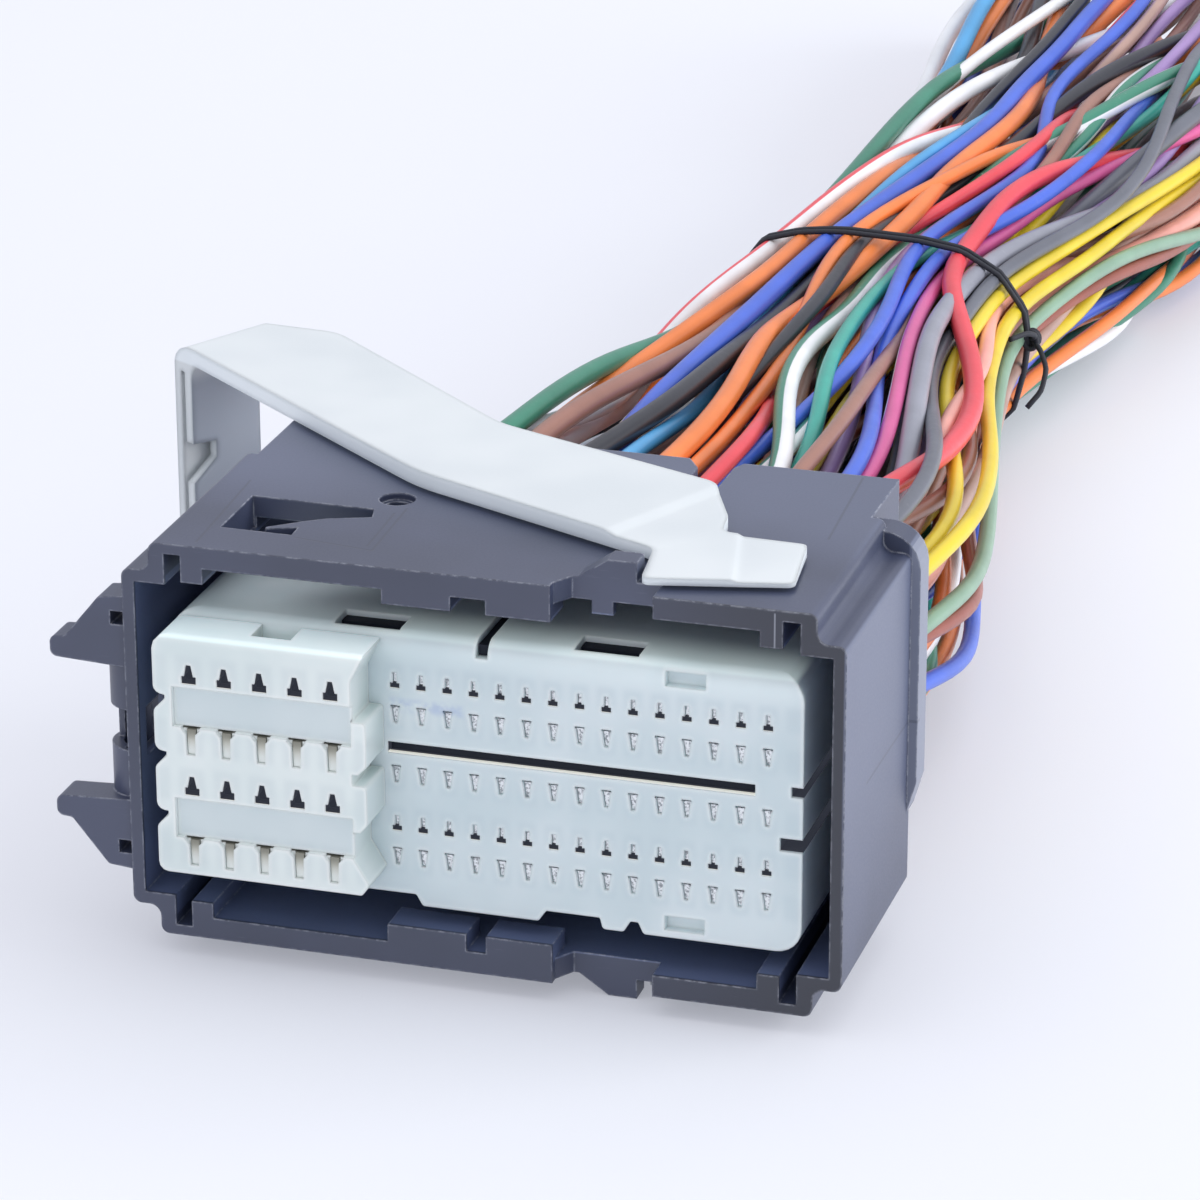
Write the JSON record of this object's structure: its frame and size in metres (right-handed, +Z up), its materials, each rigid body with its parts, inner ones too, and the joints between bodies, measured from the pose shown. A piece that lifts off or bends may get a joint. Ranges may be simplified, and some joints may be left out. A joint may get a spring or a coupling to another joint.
{
  "type": "engine control unit connector",
  "caption": "Lever-locked wiring connector for an engine control unit: dark shroud, pale contact block with signal and power cavities, swinging U-shaped lever and a wire pigtail.",
  "frame": {"origin": "on the table, in the middle of the base of the connector without its wires", "axes": "+X to the right along the mating face, +Y from the mating face towards the wires, +Z up"},
  "size_m": [0.0824, 0.3385, 0.043],
  "materials": {
    "housing_plastic": "fine moulded grain",
    "lever_plastic": "satin moulded",
    "block_plastic": "satin, slightly translucent",
    "cap_plastic": "satin moulded",
    "terminal_metal": "tin plated",
    "wire_sleeve": "smooth insulation",
    "tie_plastic": "smooth"
  },
  "bodies": {
    "connector": {"outer_housing": "housing_plastic", "contact_block": "block_plastic", "power_cap": "cap_plastic", "terminal_lock": "cap_plastic", "signal_terminals_row_1": "terminal_metal", "signal_terminals_row_2": "terminal_metal", "signal_terminals_row_3": "terminal_metal", "signal_terminals_row_4": "terminal_metal", "signal_terminals_row_5": "terminal_metal", "power_terminals_row_1": "terminal_metal", "power_terminals_row_2": "terminal_metal", "power_terminals_row_3": "terminal_metal", "power_terminals_row_4": "terminal_metal", "signal_wires_row_1": "wire_sleeve", "signal_wires_row_2": "wire_sleeve", "signal_wires_row_3": "wire_sleeve", "signal_wires_row_4": "wire_sleeve", "signal_wires_row_5": "wire_sleeve", "power_wires": "wire_sleeve", "wire_tie": "tie_plastic"},
    "lever": {"lever": "lever_plastic"}
  },
  "joints": [
    {"name": "lever_swing", "type": "hinge", "parent": "connector", "child": "lever", "pos_m": [0.01725, -0.00743, 0.0215], "axis": [0, 0, 1], "range_deg": [0, 32]}
  ]
}
